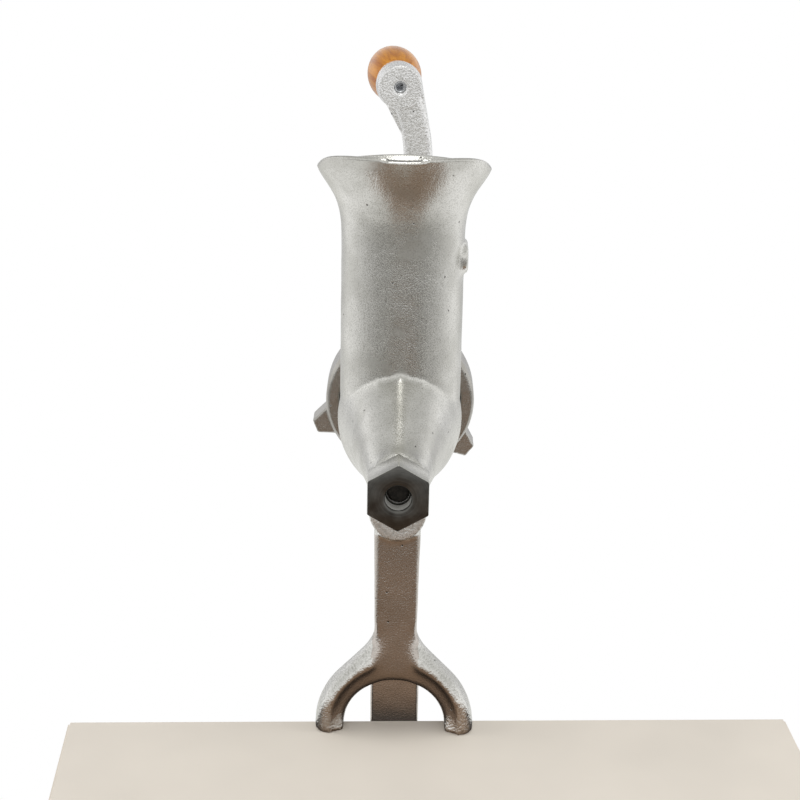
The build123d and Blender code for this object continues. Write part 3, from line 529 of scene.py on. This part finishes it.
def edged(node, width_mm):
    """A machined piece's mesh: the CAD form with its sharp edges just broken."""
    weld_mm, broken_angle, sharp_angle = 0.001, math.radians(40), math.radians(35)

    def add_modifiers(source):
        weld = source.modifiers.new("weld", "WELD")
        weld.merge_threshold = weld_mm * MM
        bevel = source.modifiers.new("bevel", "BEVEL")
        bevel.width = width_mm * MM
        bevel.segments = 2
        bevel.limit_method = "ANGLE"
        bevel.angle_limit = broken_angle
    mesh = modified(cad_mesh(node), add_modifiers)
    mesh.shade_smooth()
    mesh.set_sharp_from_angle(angle=sharp_angle)
    return mesh


def cut_thread(mesh, centre, along, radius, stretch, pitch, depth):
    """Cuts a right-handed thread into the stretch of a finely meshed shank along an axis."""
    flank_end, flank = 0.4, 0.25        # shares of the pitch, from the middle of the groove
    on_shank = 0.45 * depth             # how far from the shank's radius a vertex may lie
    other, third = [axis for axis in range(3) if axis != along]
    hand = -1 if along == 1 else 1      # X to Z turns left-handed about Y, X to Y right about Z
    for vertex in mesh.vertices:
        spoke = vertex.co - centre
        spoke[along] = 0
        in_stretch = stretch[0] < vertex.co[along] < stretch[1]
        if not in_stretch or abs(spoke.length - radius) > on_shank:
            continue
        turn = hand * math.atan2(spoke[third], spoke[other]) / math.tau
        from_middle = abs((vertex.co[along] / pitch - turn) % 1.0 - 0.5)
        groove = min(1.0, max(0.0, (flank_end - from_middle) / flank))
        vertex.co += spoke.normalized() * (radius - groove * depth - spoke.length)


def soften(mesh, share_of, passes):
    """Smooths a mesh further where share_of, given a point, says so."""
    def add_modifiers(source):
        smooth = source.modifiers.new("soften", "SMOOTH")
        smooth.vertex_group = add_group(source, "soft", share_of)
        smooth.iterations = passes
    return modified(mesh, add_modifiers)


def fork_share(place):
    """How much a point of the body belongs to the fork, above its flat soles, and to the spine's
    top. The spine's own faces stay as they are."""
    top, top_fade = 0.056, 0.010
    sole, sole_fade = 0.003, 0.006
    spine_top, spine_side = 0.036, 0.014
    leg_back, prong_back, spine_face = 0.016, 0.002, -0.001
    if place.z > spine_top:
        back = leg_back
    elif abs(place.x) > spine_side:
        back = prong_back
    else:
        back = spine_face
    if place.y > back:
        return 0.0
    return min(1.0, (place.z - sole) / sole_fade, (top - place.z) / top_fade)


def keel_share(place):
    """How much a point of the body belongs to the keel that runs down from hopper to neck."""
    half_width, side_fade = 0.014, 0.006
    bottom, neck, hopper, fade = SHAFT.z + 0.010, -0.020, 0.038, 0.004
    return min(1.0, (half_width - abs(place.x)) / side_fade, (place.y - neck) / fade,
               (hopper - place.y) / fade, (place.z - bottom) / fade)


def crisp_rim(mesh):
    """Gives the body's rim a finer mesh that follows the CAD form, so that its lip stays crisp."""
    depth, fade = 0.016, 0.004
    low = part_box("body_casting")[1].z - depth
    shape = bmesh.new()
    shape.from_mesh(mesh)
    edges = [edge for edge in shape.edges if min(vertex.co.z for vertex in edge.verts) > low]
    bmesh.ops.subdivide_edges(shape, edges=edges, cuts=1, use_grid_fill=True)
    shape.to_mesh(mesh)
    shape.free()

    def rim_share(place):
        return min(1.0, (place.z - low) / fade)

    def add_modifiers(source):
        wrap = source.modifiers.new("follow the CAD form", "SHRINKWRAP")
        wrap.target = frame["nodes"]["body_casting"]
        wrap.vertex_group = add_group(source, "rim", rim_share)
    return modified(mesh, add_modifiers)


# The leg's finish is tinted brown, a painted reflection of a brown board; the prongs' finish is
# lighter where they face up and out, painted light
AS_CAST, NECK_FACE, LEG_PAINTED_REFLECTION, PRONG_PAINTED_LIGHT = range(4)   # the body's finishes


def body_finish(place, normal, neck_face_y):
    """Which of the body's finishes a face takes: one on the neck's end face, which the nut bears
    on, one on the leg and clamp, tinted brown as a painted reflection of a brown board, and a
    lighter one on the prongs' upper and outer sides, painted light where they face up and out."""
    underside, neck_foot = 0.012, 0.033             # depths below the shaft
    neck_back, cone_back = -0.0045, 0.026           # places along the shaft
    neck_reach, barrel_reach = 0.029, 0.034         # from the shaft to where the leg begins
    cone_reach, cone_growth = 0.0165, 0.227         # the same at Y = 0, and its growth along Y
    leg_side, foot_side, upward = 0.0115, 0.031, 0.05
    prong_back, sole = 0.002, -0.001
    below = SHAFT.z - place.z
    if place.y < neck_face_y and below < neck_foot:
        return NECK_FACE
    if place.y < neck_back:
        reach = neck_reach
    elif place.y < cone_back:
        reach = cone_reach + cone_growth * place.y
    else:
        reach = barrel_reach
    if below <= underside or math.hypot(place.x, below) <= reach:
        return AS_CAST
    on_prong = abs(place.x) > leg_side and place.y < prong_back and place.z > sole
    outer = normal.z > upward or abs(place.x) > foot_side
    return PRONG_PAINTED_LIGHT if on_prong and outer else LEG_PAINTED_REFLECTION


class GRINDER_OT_body_casting(bpy.types.Operator):
    """Make the body casting soft and tinned"""

    bl_idname = "grinder.body_casting"
    bl_label = "Body casting"

    def execute(self, context):
        look = context.scene.grinder_casting
        mesh = soften(soft_casting("body_casting", look), fork_share, look.fork_soften)
        mesh = crisp_rim(soften(mesh, keel_share, look.keel_soften))
        as_cast = tinned_cast_iron("tinned sand-cast iron", look)
        rough_face = tinned_cast_iron("tinned rough-cast face", look, grain_share=1.5,
                                      dullness=0.3, matt=0.45, relief=2.0)
        # Painted reflection: the leg and clamp are tinted brown as if mirroring a brown board
        leg = tinned_cast_iron("tinned leg and clamp, painted reflection", look, grain_share=1.2, dullness=0.22,
                               tint=("#8c6a54", 0.35), relief=1.3)
        # Painted light: the prongs' upper and outer sides are tinted lighter
        prong = tinned_cast_iron("tinned prongs, painted light", look, grain_share=1.5, dullness=0.25,
                                 tint=("#ffffff", 0.1), relief=2.0)
        dress("tinned_body", mesh, "body_casting", as_cast, rough_face, leg, prong)
        face_bevel = 1.0 * MM
        neck_face_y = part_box("neck_nut")[1].y + face_bevel
        for face in mesh.polygons:
            face.material_index = body_finish(face.center, face.normal, neck_face_y)
        return {"FINISHED"}


class GRINDER_OT_small_castings(bpy.types.Operator):
    """Make the ring nut, crank, worm, wings and pad soft and tinned"""

    bl_idname = "grinder.small_castings"
    bl_label = "Small castings"

    def execute(self, context):
        look = context.scene.grinder_casting
        metal = context.scene.grinder_metal
        tinned = tinned_cast_iron("tinned small casting", look, grain_share=0.9)
        # The ring's brown tint is a painted reflection of a brown board and painted shade under the
        # cone
        ring_painted_reflection = tinned_cast_iron("tinned ring, painted reflection and shade", look, grain_share=0.9,
                                     tint=("#6d6258", 0.4))
        # The crank's white tint is painted light, as from a light above
        coarse_crank_painted_light = tinned_cast_iron("tinned coarse crank, painted light", look, grain_share=1.4,
                                        dullness=0.2, tint=("#ffffff", 0.7), matt=0.3, relief=3.0)
        fine, finer, finest = 0.65, 0.5, 0.3    # shares of the body's grid
        for node, grid_share, finish in (("ring_nut", fine, ring_painted_reflection),
                                         ("crank_arm", finer, coarse_crank_painted_light),
                                         ("clamp_wing_head", fine, tinned),
                                         ("clamp_pad", fine, tinned)):
            dress("tinned_" + node, soft_casting(node, look, grid_share), node, finish)
        # The worm, with its turned journal and thread bare, and its end drawn back in the nut
        mesh = soft_casting("auger", look, fine)
        dress("tinned_auger", mesh, "auger", tinned, oiled_iron("oiled bare iron"))
        journal_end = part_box("thrust_washer")[0].y
        for face in mesh.polygons:
            face.material_index = int(face.center.y < journal_end)
        nut_end, drawn_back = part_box("neck_nut")[1].y, 0.4 * MM
        for vertex in mesh.vertices:
            if vertex.co.y < nut_end:
                vertex.co.y += drawn_back
        # The crank's screw, with its thread
        mesh = soft_casting("crank_thumb_screw", look, finest)
        tip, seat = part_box("crank_thumb_screw")[0].y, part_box("crank_washer")[1].y
        cut_thread(mesh, SHAFT, 1, metal.thumb_radius * MM, (tip, seat), metal.thumb_lead * MM,
                   metal.thumb_depth * MM)
        dress("tinned_crank_thumb_screw", mesh, "crank_thumb_screw", tinned)
        return {"FINISHED"}


class GRINDER_OT_neck_nut(bpy.types.Operator):
    """Break the neck nut's edges and turn its end face"""

    bl_idname = "grinder.neck_nut"
    bl_label = "Neck nut"

    def execute(self, context):
        look = context.scene.grinder_casting
        mesh = edged("neck_nut", width_mm=0.45)
        facets = tinned_cast_iron("tinned nut facets", look, grain_share=0.7)
        turned = turned_iron("turned iron face", look, SHAFT)
        rough_bore = tinned_cast_iron("rough nut bore", look, grain_share=0.7, dullness=0.5,
                                      matt=0.8)
        dress("faced_neck_nut", mesh, "neck_nut", facets, turned, rough_bore)
        low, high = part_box("neck_nut")
        bore_radius = 0.24 * (high.z - low.z)
        for face in mesh.polygons:
            spoke = Vector((face.center.x - SHAFT.x, face.center.z - SHAFT.z))
            in_bore = spoke.length < bore_radius
            facing = 0.2 if in_bore else 0.9
            if abs(face.normal.y) > facing:
                face.material_index = 1
            elif in_bore:
                face.material_index = 2
        return {"FINISHED"}


def drilled_pin():
    """The grip's pin, with the lathe's centre hole in the end that shows in the crank's boss. The
    hole takes the second material, a nearly black iron that is painted shade in the hole."""
    cap_depth, facing = 0.7 * MM, 0.94
    margin, taper, depth = 0.22, 0.1, 1.0       # shares of the end's radius
    mesh = edged("grip_pin", width_mm=0.4)
    shape = bmesh.new()
    shape.from_mesh(mesh)
    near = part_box("grip_pin")[0].y + cap_depth
    cap = [face for face in shape.faces
           if face.normal.y < -facing and face.calc_center_median().y < near]
    end = bmesh.ops.dissolve_faces(shape, faces=cap)["region"][0]
    radius = math.sqrt(end.calc_area() / math.pi)
    inward = -end.normal.copy()
    for inset in (margin, taper):
        bmesh.ops.inset_region(shape, faces=[end], thickness=inset * radius)
    hole = {face for vertex in end.verts for face in vertex.link_faces}
    for vertex in end.verts:
        vertex.co += inward * depth * radius
    for face in hole:
        face.material_index = 1
    shape.to_mesh(mesh)
    shape.free()
    return mesh


class GRINDER_OT_steel(bpy.types.Operator):
    """Finish the stud, knife, plate, pins, washers and the clamp's spindle in steel"""

    bl_idname = "grinder.steel"
    bl_label = "Steel pieces"

    def execute(self, context):
        metal = context.scene.grinder_metal
        steel = ground_steel("ground carbon steel", metal)
        for node, slot in SLOT_OF.items():
            if slot == "steel" and node not in ("clamp_spindle", "grip_pin"):
                finish_node(node, steel)
        # The centre hole's nearly black iron is painted shade
        dress("drilled_grip_pin", drilled_pin(), "grip_pin", steel, oiled_iron("centre hole, painted shade"))
        # The clamp's spindle, with its thread
        mesh = modified(cad_mesh("clamp_spindle"), lambda source: add_grid(source, metal.grid))
        low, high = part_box("clamp_spindle")
        cut_thread(mesh, SCREW, 2, (high.x - low.x) / 2, (low.z, high.z), metal.lead * MM,
                   metal.thread_depth * MM)
        mesh.shade_smooth()
        dress("threaded_spindle", mesh, "clamp_spindle", steel)
        return {"FINISHED"}


class GRINDER_OT_grip(bpy.types.Operator):
    """Lacquer the wooden grip, and finish the fibre washer"""

    bl_idname = "grinder.grip"
    bl_label = "Grip and washer"

    def execute(self, context):
        # The wood's grain runs from X = 0 at the crank's end through the middle of the grip
        low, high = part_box("grip")
        along = Vector((low.x + high.x, high.y - low.y, 0)).normalized()
        finish_node("grip", lacquered_beech("lacquered beech", context.scene.grinder_wood, along))
        finish_node("thrust_washer", pressed_fibre("pressed fibre"))
        return {"FINISHED"}


# ---------------------------------------------------------------- studio
def stage_object(name, shape, stage, y, z):
    """An object made from a bmesh, which is freed, and turned and shifted as the board is."""
    mesh = bpy.data.meshes.new(name)
    shape.to_mesh(mesh)
    shape.free()
    made = bpy.data.objects.new(name, mesh)
    bpy.context.scene.collection.objects.link(made)
    made.rotation_euler.z = stage.board_turn
    made.location = (stage.board_shift, y, z)
    return made


def make_board(stage):
    """The plain pale board that the feet stand on. It ends where the clamp's spine begins."""
    spine_gap, edge_radius, cloud_mm = 0.004, 0.0012, 60
    shape = bmesh.new()
    bmesh.ops.create_cube(shape, size=1.0)
    size = Vector((stage.board_width, stage.board_depth, stage.board_thickness))
    bmesh.ops.scale(shape, vec=size, verts=shape.verts)
    bmesh.ops.translate(shape, vec=Vector((0, -size.y / 2, -size.z / 2)), verts=shape.verts)
    bmesh.ops.bevel(shape, geom=shape.edges[:], offset=edge_radius, segments=3, affect="EDGES")
    board = stage_object("board", shape, stage, -spine_gap, 0)
    material, tree, shader = blank_material("pale board")
    place = add(tree, "TexCoord").outputs["Object"]
    cloud = add(tree, "TexNoise", {"Vector": place, "Scale": 1 / (cloud_mm * MM), "Detail": 2.0})
    colour = add(tree, "ValToRGB", {"Fac": cloud.outputs["Fac"]},
                 stops=((0.3, dimmed(stage.board, 0.94)), (0.7, stage.board)))
    feed(tree, shader, {"Base Color": colour.outputs["Color"], "Roughness": 0.6})
    board.data.materials.append(material)
    board.visible_glossy = False


def make_card(stage):
    """A brown card in the board's place that reaches further forward. It glows by itself and no
    lamp
    lights it: a painted reflection of a lit brown board. Only the metal's mirrored rays see it: it
    gives the leg, the foot and the ring nut their warm dark tone."""
    under_spine = 0.004
    shape = bmesh.new()
    bmesh.ops.create_grid(shape, x_segments=1, y_segments=1, size=0.5)
    bmesh.ops.scale(shape, vec=Vector((stage.board_width, stage.card_depth, 1)),
                    verts=shape.verts)
    bmesh.ops.translate(shape, vec=Vector((0, -stage.card_depth / 2, 0)), verts=shape.verts)
    card = stage_object("card", shape, stage, under_spine, -stage.board_thickness)
    material, tree, shader = blank_material("brown card")
    place = add(tree, "SeparateXYZ", {0: add(tree, "TexCoord").outputs["Object"]})
    forward = add(tree, "MapRange", {"Value": place.outputs["Y"], "From Max": -stage.card_depth})
    # Painted shadow and light: darkest at the spine, and brightest a little in front of it
    shading = add(tree, "ValToRGB", {"Fac": forward.outputs[0]},
                  stops=[(way, dimmed(stage.card, share)) for way, share in
                         ((0.03, 0.15), (0.09, 1.4), (0.30, 1.3), (0.55, 1.1))])
    feed(tree, shader, {"Emission Color": shading.outputs["Color"], "Emission Strength": 1.0,
                        "Base Color": BLACK})
    card.data.materials.append(material)
    for rays in ("visible_camera", "visible_diffuse", "visible_shadow"):
        setattr(card, rays, False)


def make_world(stage):
    """White all round to the eye. The metal mirrors that white too, apart from the studio's unlit
    side in front of the neck, whose floor it sees dim, the wall behind and the ceiling. What isn't
    metal gets an even light. Heights are sines of the angle above the horizon."""
    world = bpy.data.worlds.new("studio")
    bpy.context.scene.world = world
    world.use_nodes = True
    tree = world.node_tree
    tree.nodes.clear()
    towards = add(tree, "SeparateXYZ", {0: add(tree, "TexCoord").outputs["Generated"]})
    # How far a direction points to the back: 1 straight behind the grinder, -1 straight in front
    flat_x = add(tree, "Math", {0: towards.outputs["X"], 1: 2.0}, operation="POWER")
    flat_y = add(tree, "Math", {0: towards.outputs["Y"], 1: 2.0}, operation="POWER")
    flat = add(tree, "Math", {0: flat_x.outputs[0], 1: flat_y.outputs[0]}, operation="ADD")
    level = add(tree, "Math", {0: flat.outputs[0]}, operation="SQRT")
    back = add(tree, "Math", {0: towards.outputs["Y"], 1: level.outputs[0]}, operation="DIVIDE")
    # The floor in front, by how far down it lies
    unlit = add(tree, "MapRange", {"Value": back.outputs[0], "From Min": 0.5, "From Max": -0.75})
    down = add(tree, "Math", {0: towards.outputs["Z"], 1: -1.0}, operation="MULTIPLY")
    floor = add(tree, "ValToRGB", {"Fac": down.outputs[0]},
                stops=((0.07, WHITE), (0.19, stage.far_floor), (0.27, stage.floor),
                       (0.40, stage.near_floor), (0.92, WHITE)))
    # The ceiling, and the wall behind with its floor
    high = add(tree, "MapRange", {"Value": towards.outputs["Z"], "From Min": 0.1,
                                  "From Max": 0.85}, interpolation_type="SMOOTHSTEP")
    ceiling = add(tree, "Mix", {SHARE: high.outputs[0], FIRST: WHITE, SECOND: stage.overhead},
                  data_type="RGBA")
    behind = add(tree, "MapRange", {"Value": back.outputs[0], "From Min": 0.5,
                                    "From Max": 0.85}, interpolation_type="SMOOTHSTEP")
    height = add(tree, "MapRange", {"Value": towards.outputs["Z"], "From Min": -0.4})
    rising = add(tree, "ValToRGB", {"Fac": height.outputs[0]},
                 stops=((0.0, stage.floor_behind), (0.18, stage.backdrop), (0.32, WHITE),
                        (0.54, stage.backdrop), (0.64, stage.backdrop), (0.86, WHITE)))
    wall = add(tree, "Mix", {SHARE: behind.outputs[0], FIRST: WHITE,
                             SECOND: rising.outputs["Color"]}, data_type="RGBA")
    around = add(tree, "Mix", {SHARE: 1.0, FIRST: ceiling.outputs[MIXED],
                               SECOND: wall.outputs[MIXED]},
                 data_type="RGBA", blend_type="MULTIPLY")
    mirrored = add(tree, "Mix", {SHARE: unlit.outputs[0], FIRST: around.outputs[MIXED],
                                 SECOND: floor.outputs["Color"]}, data_type="RGBA")
    under_horizon = add(tree, "MapRange", {"Value": down.outputs[0], "From Max": 0.1})
    room = add(tree, "Mix", {SHARE: under_horizon.outputs[0], FIRST: around.outputs[MIXED],
                             SECOND: mirrored.outputs[MIXED]}, data_type="RGBA")
    # What each kind of ray sees
    ray = add(tree, "LightPath").outputs
    clear = add(tree, "Math", {0: ray["Is Camera Ray"], 1: ray["Is Transmission Ray"]},
                operation="MAXIMUM")
    even = add(tree, "Background", {"Color": linear("#e8e8ea"), "Strength": 0.75})
    mirror = add(tree, "Background", {"Color": room.outputs[MIXED], "Strength": 1.0})
    backdrop = add(tree, "Background", {"Color": WHITE, "Strength": 1.0})
    metal = add(tree, "MixShader", {0: ray["Is Glossy Ray"], 1: even.outputs[0],
                                    2: mirror.outputs[0]})
    seen = add(tree, "MixShader", {0: clear.outputs[0], 1: metal.outputs[0],
                                   2: backdrop.outputs[0]})
    add(tree, "OutputWorld", {"Surface": seen.outputs[0]})


def make_light(name, place, aim, size, power, mirrored):
    """A soft light of that width and length, which the metal mirrors or not."""
    lamp = bpy.data.lights.new(name, "AREA")
    lamp.shape = "RECTANGLE"
    lamp.size, lamp.size_y = size
    lamp.energy = power
    light = bpy.data.objects.new(name, lamp)
    bpy.context.scene.collection.objects.link(light)
    light.location = place
    light.visible_glossy = mirrored
    light.rotation_mode = "QUATERNION"
    light.rotation_quaternion = (Vector(place) - Vector(aim)).to_track_quat("Z", "Y")


class GRINDER_OT_stage(bpy.types.Operator):
    """Set up the board, the brown card, the soft lights, the white background and the camera"""

    bl_idname = "grinder.stage"
    bl_label = "Studio"

    def execute(self, context):
        scene = context.scene
        stage = scene.grinder_stage
        make_board(stage)
        make_card(stage)
        make_world(stage)
        aim, side_size, top_size = (0.0, 0.03, 0.15), (0.6, 0.6), (0.3, 0.5)
        make_light("left soft light", (-0.8, 0.1, 0.5), aim, side_size, stage.key_power, False)
        make_light("right soft light", (0.8, 0.0, 0.45), aim, side_size, stage.key_power, False)
        make_light("top soft light", (0.0, -0.1, 1.1), aim, top_size, stage.top_power, True)
        camera = bpy.data.objects.new("camera", bpy.data.cameras.new("camera"))
        scene.collection.objects.link(camera)
        camera.data.lens = stage.lens
        camera.data.clip_start = 0.01
        camera.location = stage.camera_place
        camera.rotation_mode = "QUATERNION"
        tilt = Matrix.Rotation(math.pi / 2 - stage.camera_pitch, 3, "X")
        roll = Matrix.Rotation(stage.camera_roll, 3, "Z")
        camera.rotation_quaternion = (tilt @ roll).to_quaternion()
        scene.camera = camera
        scene.view_settings.view_transform = "Standard"
        return {"FINISHED"}


class GRINDER_PT_panel(bpy.types.Panel):
    """The grinder's steps and their settings"""

    bl_idname = "GRINDER_PT_panel"
    bl_label = "Meat Grinder"
    bl_space_type = "VIEW_3D"
    bl_region_type = "UI"
    bl_category = "Grinder"

    def draw(self, context):
        for step in STEPS:
            self.layout.operator(step.bl_idname)
        for group in SETTINGS:
            settings = getattr(context.scene, group)
            box = self.layout.box()
            for name in settings.bl_rna.properties.keys():
                if name not in ("rna_type", "name"):
                    box.prop(settings, name)


SETTINGS = {
    "grinder_casting": GrinderCasting,
    "grinder_metal": GrinderMetal,
    "grinder_wood": GrinderWood,
    "grinder_stage": GrinderStage,
}
STEPS = (
    GRINDER_OT_body_casting,
    GRINDER_OT_small_castings,
    GRINDER_OT_neck_nut,
    GRINDER_OT_steel,
    GRINDER_OT_grip,
    GRINDER_OT_stage,
)


def register():
    for name, group in SETTINGS.items():
        bpy.utils.register_class(group)
        setattr(bpy.types.Scene, name, bpy.props.PointerProperty(type=group))
    for step in STEPS:
        bpy.utils.register_class(step)
    bpy.utils.register_class(GRINDER_PT_panel)


def unregister():
    bpy.utils.unregister_class(GRINDER_PT_panel)
    for step in reversed(STEPS):
        bpy.utils.unregister_class(step)
    for name, group in SETTINGS.items():
        delattr(bpy.types.Scene, name)
        bpy.utils.unregister_class(group)


def main():
    register()
    bpy.ops.grinder.body_casting()
    bpy.ops.grinder.small_castings()
    bpy.ops.grinder.neck_nut()
    bpy.ops.grinder.steel()
    bpy.ops.grinder.grip()
    bpy.ops.grinder.stage()


if __name__ == "__main__":
    main()
